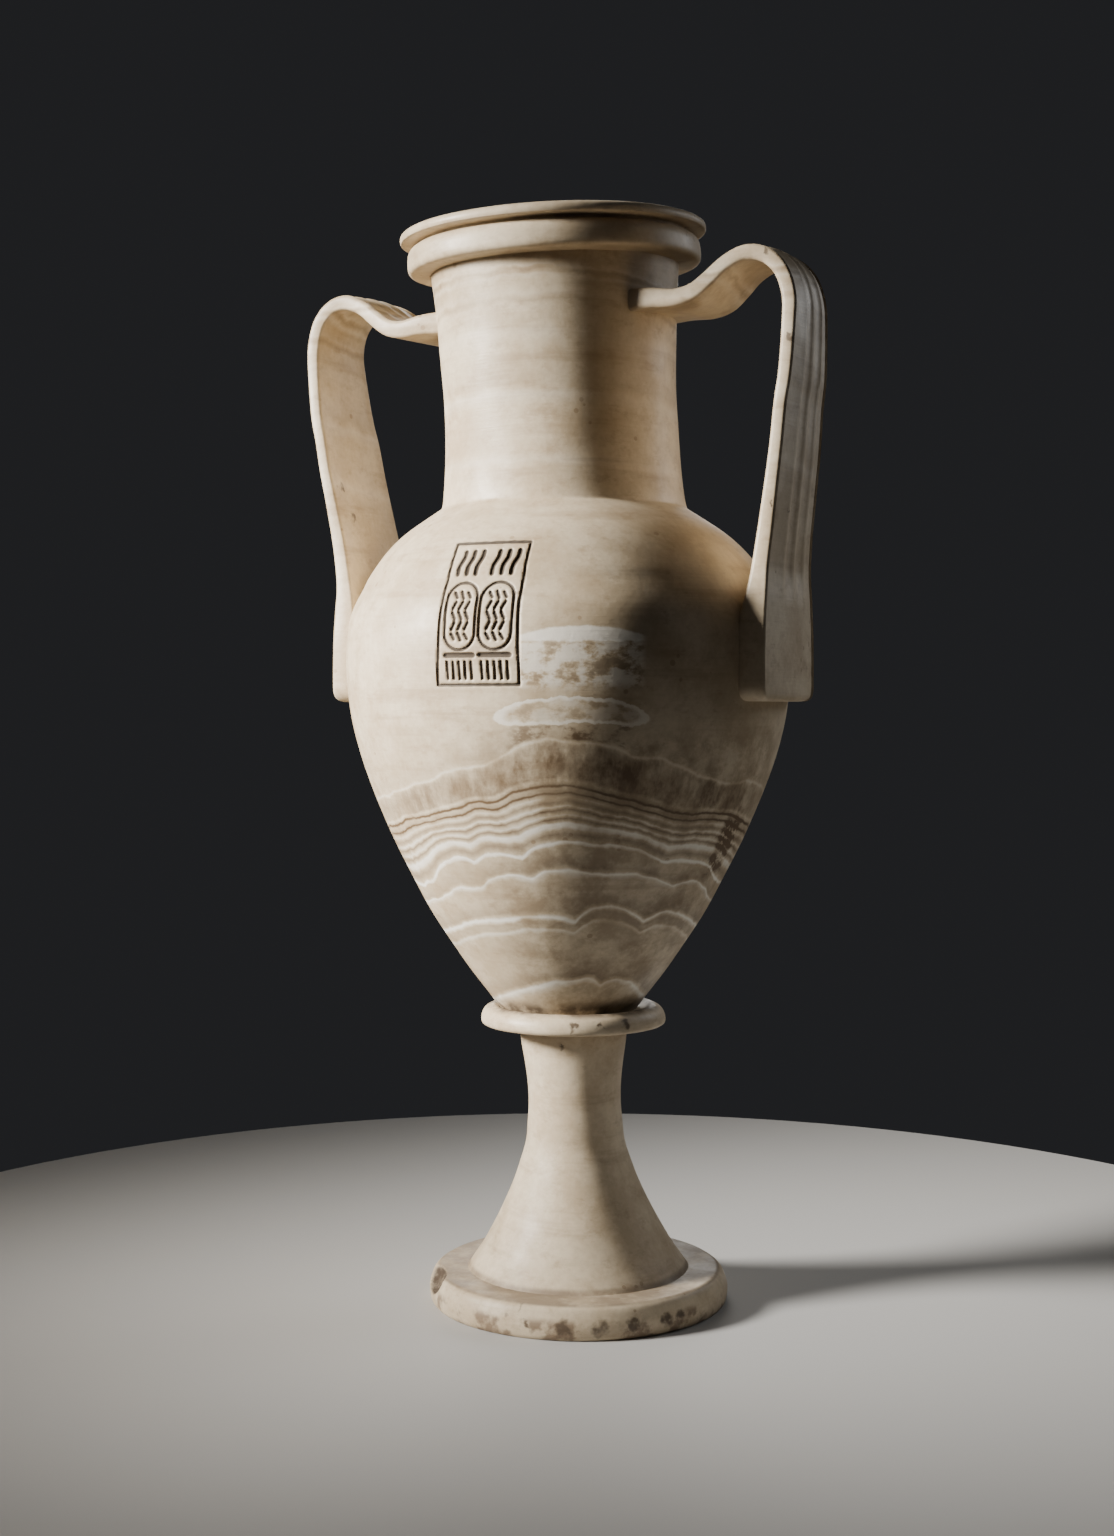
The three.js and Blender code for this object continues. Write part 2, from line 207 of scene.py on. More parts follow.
def neckOutline():
    v = vesselValues
    waist, tall = v["neckWaistRadius"], v["neckHeight"]
    return smoothLine([
        (v["creaseRadius"] - 1.5, crease + 1),
        (waist + 3, crease + tall * 0.06),
        (waist + 1, crease + tall * 0.22),
        (waist, crease + tall * 0.45),
        (waist + 1, crease + tall * 0.66),
        ((waist + v["neckTopRadius"]) / 2, crease + tall * 0.84),
        (v["neckTopRadius"], neckTop),
    ])


bodyLine = bodyOutline()
neckLine = neckOutline()


def bodyRadiusAt(height):
    return np.interp(height, bodyLine[:, 1], bodyLine[:, 0])


def inset(line, wall):  # the same line moved inwards by the wall's thickness
    way = np.gradient(line, axis=0)
    way /= np.linalg.norm(way, axis=1, keepdims=True)
    return line + np.stack([-way[:, 1], way[:, 0]], 1) * wall


def vesselOutline():
    v = vesselValues
    floorLevel = bodyBase + v["floorThickness"]
    mouth = v["neckTopRadius"] - v["neckWall"]
    inner = inset(bodyLine[::8], v["bodyWall"])
    inner = inner[inner[:, 1] > floorLevel + v["bodyWall"] / 2]
    neckInner = inset(neckLine[::8], v["neckWall"])
    outer = [
        [(2, bodyBase), (v["seatRadius"] - 3, bodyBase)],
        bodyLine,
        neckLine,
        ring(v["neckTopRadius"], neckTop, v["grooveRadius"], lowerRingTop, v["lowerRingRadius"]),
        [(v["grooveRadius"], lowerRingTop)],
        ring(v["grooveRadius"], grooveTop, v["grooveRadius"], lipTop, v["upperRingRadius"]),
        [(mouth + v["mouthFlare"] + 1.5, lipTop), (mouth + v["mouthFlare"], lipTop - 1)],
    ]
    inside = [
        [(mouth, grooveTop - 2), (mouth, neckTop)],
        neckInner[::-1],
        inner[::-1],
        [(inner[0][0] * 0.7, floorLevel + v["floorDish"]), (2, floorLevel)],
    ]
    return np.vstack([np.array(p, float) for p in outer]), np.vstack([np.array(p, float) for p in inside])


# --- the panel: a frame, two ovals and rows of plain strokes
panelTop = crease - panelValues["belowCrease"]
panelBottom = panelTop - panelValues["height"]


def panelLines():
    p = panelValues
    lines = []  # each: list of [across, height], width share, depth share
    low, high, wide, narrow = panelBottom, panelTop, p["halfWidth"], p["topHalfWidth"]
    corners = [(-wide, low), (wide, low), (narrow, high), (-narrow, high), (-wide, low)]
    lines += [([a, b], 1.0, 1.0) for a, b in zip(corners, corners[1:])]
    middle = low + p["height"] * 0.477
    offset = p["ovalHalfWidth"] + p["ovalGap"] / 2
    base = middle - p["ovalHalfHeight"] - 2.9
    for at in (-offset, offset):
        straight = p["ovalHalfHeight"] - p["ovalHalfWidth"]
        oval = []
        for turn in np.linspace(0, 2 * math.pi, 49):
            lift = math.copysign(straight, math.sin(turn))
            oval.append((at + p["ovalHalfWidth"] * math.cos(turn),
                         middle + lift + p["ovalHalfWidth"] * math.sin(turn)))
        lines.append((oval + oval[:1], 1.0, 1.0))
        lines.append(([(at - 8.8, base), (at + 8.8, base)], 1.6, 1.15))
        for row, lift in enumerate((-11.4, -5.6, 0.2, 6, 11.8)):
            slant = 1.5 if row % 2 else -1.5
            for across in (-4.2, 0, 4.2):
                tip = 1.9 if abs(lift) < 11 or across == 0 else 1.4
                start = (at + across - slant * 0.6, middle + lift - tip)
                lines.append(([start, (at + across + slant * 0.6, middle + lift + tip)], 1.1, 1.0))
        for across in (-7.2, -3.4, 0.4, 4.2, 8):
            lines.append(([(at + across, low + 3.4), (at + across - 0.5, base - 3.6)], 1.0, 1.0))
        for across in (-5.4, 0.4, 6.2):
            top = high - 5
            bend = [
                (at + across + 1.2, top), (at + across + 1.0, top - 3.6),
                (at + across - 0.9, top - 8.4), (at + across - 1.2, top - 13),
            ]
            lines.append((smoothLine(bend, 5).tolist(), 1.5, 1.2))
    return lines


def panelCarving(across, height):
    width, depth = panelValues["lineWidth"], panelValues["lineDepth"]
    cut = np.zeros(across.shape)
    place = np.stack([across, height], -1)
    uneven = waviness(np.stack([across, height, across * 0], -1), 5, 4) * 0.12
    for points, wide, deep in panelLines():
        points = np.array(points, float)
        nearest = np.full(across.shape, 99.0)
        for a, b in zip(points, points[1:]):
            span = b - a
            share = np.clip(((place - a) @ span) / (span @ span), 0, 1)
            nearest = np.minimum(nearest, np.linalg.norm(place - a - share[..., None] * span, axis=-1))
        half = width * wide / 2
        profile = 1 - smoothStep(nearest + uneven, half * 0.25, half * 1.25)
        cut = np.maximum(cut, profile * deep)
    return cut * depth, cut


# --- straps
def strapKnots():
    h = handleValues
    level = crease + h["rise"]
    start = vesselValues["neckWaistRadius"] - h["rootSink"]
    legTop, padTop = level - h["archRise"], level - h["legDrop"]
    padMiddle = vesselValues["bodyRadius"] + (h["padStandOut"] - h["padSink"]) / 2
    padThickness = h["padStandOut"] + h["padSink"]
    overArch = [
        (0, 0.02, 1, 1.45), (0.14, 0.02, 1, 1.3), (0.28, -0.04, 0.97, 1.15), (0.4, 0.07, 0.93, 1.1),
        (0.505, 0.4, 0.88, 1.05), (0.61, 0.78, 0.84, 1), (0.735, 1, 0.81, 1), (0.86, 0.88, 0.79, 1),
        (0.955, 0.43, 0.79, 1), (1, -0.24, 0.8, 1),
    ]
    downLeg = [
        (0, 0, 0.85, 0.95), (0.1, 0.176, 0.93, 0.92), (0.23, 0.286, 0.97, 0.9), (0.355, 0.428, 1, 0.91),
        (0.5, 0.558, 1.01, 0.96), (0.7, 0.733, 1.03, 1.08), (0.85, 0.882, 1.1, 1.2),
    ]
    onBody = [(0, 0.94, 0.83), (0.25, 0.98, 1), (0.6, 1, 1), (1, 1, 1)]
    knots = [
        (start + r * (h["reach"] - start), level + z * h["archRise"], w * h["halfWidth"], t * h["thickness"])
        for r, z, w, t in overArch
    ]
    knots += [
        (h["reach"] + r * (padMiddle - h["reach"]), legTop - z * (legTop - padTop),
         w * h["halfWidth"], t * h["thickness"])
        for r, z, w, t in downLeg
    ]
    knots += [
        (padMiddle + (1 - t) * padThickness / 2, padTop - down * h["padHeight"],
         w * h["padHalfWidth"], t * padThickness)
        for down, w, t in onBody
    ]
    return knots


def strapSection(halfWidth, thickness, fluting):  # [across, depth] round the section
    h = handleValues
    half, soft = thickness / 2, min(h["edgeRound"], thickness * 0.36)
    points = []
    for share in np.linspace(-1, 1, 37):
        across = share * (halfWidth - soft)
        hollow = 0
        for low, high, deep in ((-0.92, -0.38, 0.35), (-0.36, 0.07, 1), (0.09, 0.6, 1), (0.62, 0.92, 0.3)):
            if low < share < high:
                hollow = deep * math.sin(math.pi * (share - low) / (high - low)) ** 0.7
        points.append((across, half + h["bow"] * (0.5 - share * share) - fluting * h["fluteDepth"] * hollow))
    for corner, (sx, sy) in enumerate(((1, 1), (1, -1), (-1, -1), (-1, 1))):
        centre = (sx * (halfWidth - soft), sy * (half - soft))
        begin = (90, 0, -90, -180)[corner]
        for turn in np.linspace(begin, begin - 90, 6)[1:]:
            angle = math.radians(turn)
            points.append((centre[0] + soft * math.cos(angle), centre[1] + soft * math.sin(angle)))
        if corner == 1:
            for share in np.linspace(1, -1, 9)[1:-1]:
                points.append((share * (halfWidth - soft), -half))
    return np.array(points[:-1])


def strapGrid(side):
    h = handleValues
    line = smoothLine(strapKnots(), 40, extend=True)
    ways = np.gradient(line[:, :2], axis=0)
    ways /= np.linalg.norm(ways, axis=1, keepdims=True)
    lengths = np.concatenate([[0], np.cumsum(np.linalg.norm(np.diff(line[:, :2], axis=0), axis=1))])
    total = lengths[-1]
    stops = np.concatenate([
        np.linspace(0, total - h["cornerRound"], h["loops"]),
        total - h["cornerRound"] * (1 - np.sin(np.linspace(0, math.pi / 2, 12)[1:])),
    ])
    loops = []
    for stop in stops:
        radius, height, wide, thick = (np.interp(stop, lengths, line[:, k]) for k in range(4))
        way = np.array([np.interp(stop, lengths, ways[:, k]) for k in range(2)])
        out = np.array([-way[1], way[0]]) / np.linalg.norm(way)
        left = max(0.0, total - stop)
        drawIn, drawWide = (
            size * (1 - math.sqrt(max(0, 1 - (1 - min(1, left / size)) ** 2)))
            for size in (h["endRound"], h["cornerRound"])
        )
        fluting = smoothStep(height, 424, 446) * smoothStep(stop, 34, 62)
        section = strapSection(wide - drawWide, thick - 2 * drawIn, fluting)
        spot = np.empty((len(section), 3))
        spot[:, 0] = side * (radius + out[0] * section[:, 1])
        spot[:, 1] = side * section[:, 0]
        spot[:, 2] = height + out[1] * section[:, 1]
        loops.append(spot[::-1])
    return np.array(loops)


# --- meshes
def makeVessel():
    v, p = vesselValues, panelValues
    outer, inside = vesselOutline()

    def spacing(r, z):
        if panelBottom - 3 < z < panelTop + 3:
            return p["meshStep"]
        if z > neckTop - 3:
            return 1.15
        if abs(z - crease) < 6:
            return 1.1
        return 2.7

    outerRows = respaced(outer, spacing)
    insideRows = respaced(inside, lambda r, z: 8.0)
    rows = np.vstack([outerRows, insideRows])
    turnOf = math.radians(p["turn"])
    reach = (p["halfWidth"] + 2.5) / v["bodyRadius"] * 1.25
    fine = np.arange(-reach, reach, p["meshStep"] / (v["bodyRadius"] * 0.93))
    coarse = np.linspace(reach, 2 * math.pi - reach, 106, endpoint=False)
    turns = np.concatenate([fine, coarse]) + turnOf
    grid = turnedGrid(rows, turns)
    isOuter = (np.arange(len(rows)) < len(outerRows))[:, None]
    across = (np.concatenate([fine, coarse - 2 * math.pi * (coarse > math.pi)])[None, :]
              * bodyRadiusAt(rows[:, 1])[:, None])
    height = np.broadcast_to(rows[:, 1:], across.shape)
    onPanel = isOuter & (np.abs(across) < 29) & (height > panelBottom - 4) & (height < panelTop + 4)
    cut, fill = panelCarving(across[onPanel], height[onPanel])
    move = waviness(grid, 90, 11) * v["handWobble"] * isOuter
    fills = np.zeros(across.shape)
    fills[onPanel] = fill
    move[onPanel] -= cut
    away = grid.copy()
    away[..., 2] = 0
    away /= np.maximum(np.linalg.norm(away, axis=-1, keepdims=True), 1e-6)
    grid = grid + away * move[..., None]

    skin = Skin()
    base, floor = [0, 0, rows[0][1]], [0, 0, rows[-1][1]]
    skin.addGrid(crooked(grid, False), crooked(np.array(base), False), crooked(np.array(floor), False), fills)
    for side in (1, -1):
        strap = strapGrid(side)
        start, end = strap[0].mean(0), strap[-1].mean(0)
        skin.addGrid(crooked(strap, False), crooked(start, False), crooked(end, False))
    return skin.makeObject("amphoraVessel", 38)


def makeFoot():
    f = footValues
    flare = [
        (1, 0), (0.848, 0.057), (0.744, 0.099), (0.567, 0.183), (0.407, 0.266),
        (0.263, 0.349), (0.147, 0.432), (0.053, 0.515), (0.02, 0.6), (0, 0.68),
    ]
    stem = [(0.08, 0.763), (0.38, 0.847), (0.76, 0.929), (1, 1)]
    knots = [(f["stemRadius"] + w * (f["flareRadius"] - f["stemRadius"]), f["discHeight"] + u * f["stemHeight"])
             for w, u in flare]
    knots += [(f["stemRadius"] + w * (f["stemTopRadius"] - f["stemRadius"]), f["discHeight"] + u * f["stemHeight"])
              for w, u in stem]
    collar = [(0.3, 0), (0.88, 0.07), (1, 0.29), (0.88, 0.6), (0.55, 0.85), (0, 1)]
    edge = smoothLine([(f["collarTopRadius"] + o * (f["collarRadius"] - f["collarTopRadius"]),
                        collarUnder + u * f["collarHeight"]) for o, u in collar], 12)
    disc, tall, edgeRound = f["discRadius"], f["discHeight"], f["discEdgeRound"]
    rim = smoothLine([
        (disc - f["discUnderRound"], 0), (disc - f["discUnderRound"] * 0.25, f["discUnderRound"]),
        (disc, tall * 0.45), (disc - edgeRound * 0.25, tall * 0.72),
        (disc - edgeRound * 0.55, tall * 0.9), (disc - edgeRound, tall),
    ], 12)
    recess = bodyRadiusAt(collarTop) + math.hypot(*leanValues["bodyShift"]) + f["jointWidth"]
    outline = np.vstack([
        [(2, 0)], rim, smoothLine(knots), edge,
        [(recess, collarTop), (recess - f["jointWidth"], seatLevel), (2, seatLevel)],
    ])

    def spacing(r, z):
        if r < disc - 14 and z < 0.5 or z > collarTop - 4 and r < recess:
            return 6.0
        return 1.3 if z < tall + 3 or z > collarUnder - 4 else 2.2

    rows = respaced(outline, spacing)
    chipTurn, reach = math.radians(f["chipTurn"]), math.radians(17)
    fine = np.arange(-reach, reach, 1.1 / disc)
    coarse = np.linspace(reach, 2 * math.pi - reach, 116, endpoint=False)
    grid = turnedGrid(rows, np.concatenate([fine, coarse]) + chipTurn)
    away = grid.copy()
    away[..., 2] = 0
    away /= np.maximum(np.linalg.norm(away, axis=-1, keepdims=True), 1e-6)
    free = (smoothStep(rows[:, 1], 1.0, 4.0) * (rows[:, 1] < collarTop - 0.5))[:, None]
    grid = grid + away * (waviness(grid, 70, 23) * f["handWobble"] * free)[..., None]

    # the knock: points inside an uneven lump slide inwards and down until they reach its far side
    outward = np.array([math.sin(chipTurn), -math.cos(chipTurn), 0])
    beside = np.array([math.cos(chipTurn), math.sin(chipTurn), 0])
    centre = outward * disc + np.array([0, 0, tall])
    size = np.array(f["chipSize"], float)
    frameAxes = np.stack([beside, outward, [0, 0, 1]], 1)
    local = ((grid - centre) @ frameAxes) / size
    slide = (frameAxes.T @ (-outward * 0.75 - np.array([0, 0, 0.66]))) / size
    a, b = slide @ slide, 2 * local @ slide
    c = (local**2).sum(-1) - 1
    inside = c < 0
    step = np.where(inside, (-b + np.sqrt(np.maximum(b * b - 4 * a * c, 0))) / (2 * a), 0)
    rough = 1 + waviness(grid, 6, 5) * 0.12 + waviness(grid, 2.6, 6) * 0.07 * f["chipRoughness"]
    grid = grid + (step * rough)[..., None] * (-outward * 0.75 - np.array([0, 0, 0.66]))

    skin = Skin()
    base, seat = np.array([0, 0, 0.0]), np.array([0, 0, seatLevel])
    # the chip's depth is stored as the fill attribute, which the foot's material uses to paint shade into the chip
    skin.addGrid(crooked(grid, True), crooked(base, True), crooked(seat, True),
                 smoothStep(step, 0.2, 2.5))
    return skin.makeObject("amphoraFoot", 40)


vessel = makeVessel()
foot = makeFoot()


# --- node helpers
def addNode(tree, kind, settings=None, inputs=None):
    made = tree.nodes.new(kind)
    for name, value in (settings or {}).items():
        setattr(made, name, value)
    for name, value in (inputs or {}).items():
        connect(tree, value, made.inputs[name])
    return made


def connect(tree, value, socket):
    if isinstance(value, bpy.types.NodeSocket):
        tree.links.new(value, socket)
    else:
        socket.default_value = value


def calc(tree, operation, *values, clamp=False):
    made = addNode(tree, "ShaderNodeMath", {"operation": operation, "use_clamp": clamp})
    for socket, value in zip(made.inputs, values):
        connect(tree, value, socket)
    return made.outputs[0]


def ranged(tree, value, low, high, start=0.0, end=1.0, smooth=True):
    made = addNode(tree, "ShaderNodeMapRange", {"interpolation_type": "SMOOTHSTEP" if smooth else "LINEAR"})
    for name, given in (("Value", value), ("From Min", low), ("From Max", high), ("To Min", start), ("To Max", end)):
        connect(tree, given, made.inputs[name])
    return made.outputs[0]


def blendColor(tree, share, first, second, kind="MIX"):
    made = addNode(tree, "ShaderNodeMix", {"data_type": "RGBA", "blend_type": kind})
    connect(tree, share, made.inputs[0])
    connect(tree, first, made.inputs[6])
    connect(tree, second, made.inputs[7])
    return made.outputs[2]


def noiseAt(tree, vector, scale, detail=4.0, roughness=0.55):
    made = addNode(tree, "ShaderNodeTexNoise", inputs={
        "Vector": vector, "Scale": scale, "Detail": detail, "Roughness": roughness})
    return made.outputs["Fac"]


def stretched(tree, vector, scale):
    return addNode(tree, "ShaderNodeVectorMath", {"operation": "MULTIPLY"}, {0: vector, 1: scale}).outputs[0]


def toneRamp(tree, level, stops):  # stops: (millimetres, value)
    low, high = stops[0][0], stops[-1][0]
    share = ranged(tree, level, low / 1000, high / 1000, smooth=False)
    ramp = addNode(tree, "ShaderNodeValToRGB", inputs={"Fac": share})
    elements = ramp.color_ramp.elements
    for i, (height, value) in enumerate(stops):
        place = (height - low) / (high - low)
        if i < 2:
            element = elements[i]
            element.position = place
        else:
            element = elements.new(place)
        element.color = (value, value, value, 1)
    return ramp.outputs["Color"]


def newGroup(name, inputs, outputs):
    tree = bpy.data.node_groups.new(name, "ShaderNodeTree")
    for label, kind, value in inputs:
        socket = tree.interface.new_socket(label, in_out="INPUT", socket_type=kind)
        if value is not None:
            socket.default_value = value
    for label, kind in outputs:
        tree.interface.new_socket(label, in_out="OUTPUT", socket_type=kind)
    return tree, tree.nodes.new("NodeGroupInput"), tree.nodes.new("NodeGroupOutput")


# Mottled stone ground that both stones share: colour, a height for the bump and a pit mask.
def makeStoneGround():
    tree, given, put = newGroup("stoneGround", [
        ("Vector", "NodeSocketVector", None),
        ("Base", "NodeSocketColor", (0.72, 0.6, 0.42, 1)),
        ("Pale", "NodeSocketColor", (0.86, 0.79, 0.64, 1)),
        ("Deep", "NodeSocketColor", (0.5, 0.36, 0.2, 1)),
        ("Pits", "NodeSocketFloat", 0.5),
    ], [("Color", "NodeSocketColor"), ("Height", "NodeSocketFloat"), ("Pit Mask", "NodeSocketFloat")])
    vector = given.outputs["Vector"]
    clouds = ranged(tree, noiseAt(tree, vector, 24, 7, 0.68), 0.36, 0.64)
    layers = noiseAt(tree, stretched(tree, vector, (9, 9, 95)), 1.0, 4, 0.6)
    grain = noiseAt(tree, vector, 260, 3, 0.6)
    flecks = noiseAt(tree, stretched(tree, vector, (70, 70, 130)), 1.0, 6, 0.7)
    color = blendColor(tree, clouds, given.outputs["Base"], given.outputs["Pale"])
    color = blendColor(tree, ranged(tree, layers, 0.52, 0.74, 0.0, 0.42), color, given.outputs["Deep"])
    color = blendColor(tree, ranged(tree, flecks, 0.5, 0.72, 0.0, 0.4), color, given.outputs["Deep"])
    color = blendColor(tree, ranged(tree, grain, 0.35, 0.75, 0.0, 0.16), color, given.outputs["Deep"])
    cells = addNode(tree, "ShaderNodeTexVoronoi", inputs={"Vector": vector, "Scale": 120.0, "Randomness": 1.0})
    scarce = ranged(tree, noiseAt(tree, vector, 22, 2, 0.5), 0.57, 0.66)
    size = calc(tree, "MULTIPLY", calc(tree, "MULTIPLY", scarce, given.outputs["Pits"]), 0.3)
    pits = calc(tree, "LESS_THAN", cells.outputs["Distance"], size)
    color = blendColor(tree, calc(tree, "MULTIPLY", pits, 0.55), color, given.outputs["Deep"])
    marks = noiseAt(tree, stretched(tree, vector, (30, 30, 700)), 1.0, 2, 0.5)
    height = calc(tree, "ADD", calc(tree, "MULTIPLY", marks, 0.22), calc(tree, "MULTIPLY", grain, 0.25))
    height = calc(tree, "SUBTRACT", height, calc(tree, "MULTIPLY", pits, 0.9))
    connect(tree, color, put.inputs["Color"])
    connect(tree, height, put.inputs["Height"])
    connect(tree, pits, put.inputs["Pit Mask"])
    return tree


# Small stains and holes at chosen places: a mask that is 1 at each spot's middle.
def spotMask(tree, vector, spots):
    total = None
    noise = addNode(tree, "ShaderNodeTexNoise", inputs={"Vector": vector, "Scale": 170.0, "Detail": 3.0})
    push = addNode(tree, "ShaderNodeVectorMath", {"operation": "MULTIPLY_ADD"}, {
        0: noise.outputs["Color"], 1: (0.012, 0.012, 0.012), 2: (-0.006, -0.006, -0.006)})
    warped = addNode(tree, "ShaderNodeVectorMath", {"operation": "ADD"}, {0: vector, 1: push.outputs[0]}).outputs[0]
    for place, radius in spots:
        spot = addNode(tree, "ShaderNodeVectorMath", {"operation": "DISTANCE"}, {0: warped, 1: place})
        mask = ranged(tree, spot.outputs["Value"], radius, radius * 0.35)
        total = mask if total is None else calc(tree, "MAXIMUM", total, mask)
    return total


stoneGround = makeStoneGround()

handleSpots = [  # (place, radius) in metres
    ((0.1505, -0.0422, 0.5719), 0.0032), ((0.1367, -0.0424, 0.621), 0.0022), ((0.1485, -0.0413, 0.6034), 0.002),
    ((0.1486, -0.0317, 0.6075), 0.0016), ((0.1388, -0.0412, 0.4799), 0.0018), ((0.1414, -0.0199, 0.4784), 0.0018),
    ((-0.1507, -0.0316, 0.5033), 0.0034), ((-0.1468, -0.0236, 0.4849), 0.0034),
]
footSpots = [
    ((0.0447, -0.0302, 0.1773), 0.0042), ((0.0347, -0.0427, 0.1766), 0.0034), ((0.021, -0.0523, 0.1753), 0.003),
    ((0.0043, -0.0327, 0.1591), 0.0026), ((0.0103, -0.0913, 0.0087), 0.0036), ((0.0301, -0.0865, 0.0072), 0.0062),
    ((0.0502, -0.0768, 0.0072), 0.0066), ((0.0652, -0.0644, 0.0092), 0.005), ((0.0789, -0.0467, 0.0091), 0.0058),
    ((0.0838, -0.0372, 0.0095), 0.0048), ((0.004, -0.0879, 0.0174), 0.0024), ((-0.0036, -0.0909, 0.0125), 0.0024),
]

# Growth bands on the body. Each line is a run of (degrees from the panel side, height), and a third value
# of 1 marks a cusp. The tones are (level, tone), where 0.5 is the plain ground.
bandValues = {
    "axis": (-5.8, -2.75), "firstTurn": -75, "lastTurn": 135, "lowest": 160, "highest": 360,
    "lines": [
        (203.5, [(-75, 184), (-31, 190), (-8, 196), (9, 200.5), (16, 203), (24, 203.3), (31, 205), (38, 205.4),
                 (44.5, 201, 1), (50, 203.6), (60, 203), (75, 196), (105, 187), (135, 184)]),
        (250.6, [(-75, 226), (-40, 231), (-24.2, 236.1), (-15.4, 239.4), (-7.3, 240.5), (2.7, 242), (13.8, 244.2),
                 (22, 243.4), (28.2, 241.1, 1), (33.1, 247.6), (38.9, 250.3), (45.2, 249.7), (51.3, 245.1),
                 (56.8, 240.1, 1), (63.8, 244.7), (71.1, 244.6), (83.4, 239.1), (104.4, 231.5), (135, 226)]),
        (271.5, [(-75, 246), (-30, 252), (-18, 259, 1), (-6.5, 260.5), (-2, 265.8), (2.4, 268.3), (9.1, 268.7),
                 (13.9, 267, 1), (18.2, 270.9), (24.3, 272.2), (31.2, 270.9), (38.4, 269.5), (47.6, 269.4),
                 (56.3, 266), (64.8, 260.8, 1), (73, 263.1), (84.1, 257.9), (96, 249.8), (135, 246)]),
        (288.6, [(-75, 260), (-40, 258, 1), (-28.4, 264.2), (-22.5, 271.9), (-16.2, 276.4), (-10.1, 278.2),
                 (-5.9, 276, 1), (0.4, 280.8), (6.7, 280.9), (11.3, 279.5, 1), (15.5, 285.5), (21.2, 288.4),
                 (27.6, 289.1), (34, 286.5), (39, 286.4), (45, 284.9), (51.9, 280.2), (57.6, 275.4, 1),
                 (64.9, 276.7), (71.8, 274.8), (81, 270.6), (91.8, 261.8), (135, 260)]),
        (322.9, [(-75, 290), (-45, 294), (-29.1, 299.8), (-17.7, 303.3), (-7.9, 307.1), (-0.9, 311.1), (5.4, 312.6),
                 (11.7, 317.6), (17.6, 320.1), (23.2, 321.3), (28.8, 320.1), (34.5, 317.1), (40.4, 314), (48.4, 309.8),
                 (54.7, 306.4), (60.6, 303.9), (67.8, 303.4), (77.6, 303.3), (87.2, 299.3), (105, 293), (135, 290)]),
        (345.8, [(-75, 308), (-40, 312), (-28, 317), (-15, 322.6), (-6.9, 328.5), (-0.1, 330.8), (7.6, 335.5),
                 (12.7, 342.1), (16.8, 345.1), (20.7, 346.3), (25.9, 345.1), (31.2, 345.1), (35.8, 343.3),
                 (42.2, 336.1, 1), (47.9, 336.6), (56.1, 331.6), (63.9, 325.2), (75.4, 320.6), (87, 321.4), (110, 312),
                 (135, 308)]),
    ],
    "lower": [
        (184, 0.5), (197, 0.46), (200.5, 0.6), (203.5, 1.0), (205, 0.58), (207, 0.34), (216, 0.46),
        (232, 0.48), (240, 0.5), (242.4, 0.74), (244, 0.44), (248, 0.42), (249.4, 0.66),
        (250.8, 1.0), (252.4, 0.5), (254, 0.36), (264, 0.46), (269, 0.52), (270.6, 0.66), (271.8, 0.9),
        (273.2, 0.48), (275, 0.36), (283, 0.46), (286.6, 0.5), (287.8, 0.8), (289, 1.0), (290.2, 0.56), (292, 0.4),
    ],
    "upper": [
        (292, 0.4), (294, 0.3), (296, 0.44), (298, 0.78), (300, 0.9), (301.4, 0.5), (303, 0.26), (305, 0.74),
        (306.6, 0.5), (308.2, 0.22), (310.2, 0.76), (311.8, 0.4), (313.2, 0.3), (315.6, 0.66), (317.2, 0.44),
        (318.4, 0.06), (319.6, 0.4), (321.6, 0.46), (322.9, 0.0), (324.2, 0.44), (325.6, 0.62), (327.4, 0.4),
        (336, 0.36), (343, 0.42), (344.4, 0.48), (345.8, 0.66), (347.4, 0.47), (351, 0.44), (358, 0.5), (364, 0.5),
    ],
}


def bandLine(tree, turn, knots):  # the height of one growth line at each turn, in metres
    b = bandValues
    share = ranged(tree, turn, math.radians(b["firstTurn"]), math.radians(b["lastTurn"]), smooth=False)
    node = addNode(tree, "ShaderNodeFloatCurve", inputs={"Value": share})
    curve = node.mapping.curves[0]
    for i, knot in enumerate(knots):
        place = ((knot[0] - b["firstTurn"]) / (b["lastTurn"] - b["firstTurn"]),
                 (knot[1] - b["lowest"]) / (b["highest"] - b["lowest"]))
        point = curve.points[i] if i < 2 else curve.points.new(*place)
        point.location = place
        point.handle_type = "VECTOR" if len(knot) > 2 else "AUTO"
    node.mapping.update()
    return ranged(tree, node.outputs[0], 0.0, 1.0, b["lowest"] / 1000, b["highest"] / 1000, smooth=False)


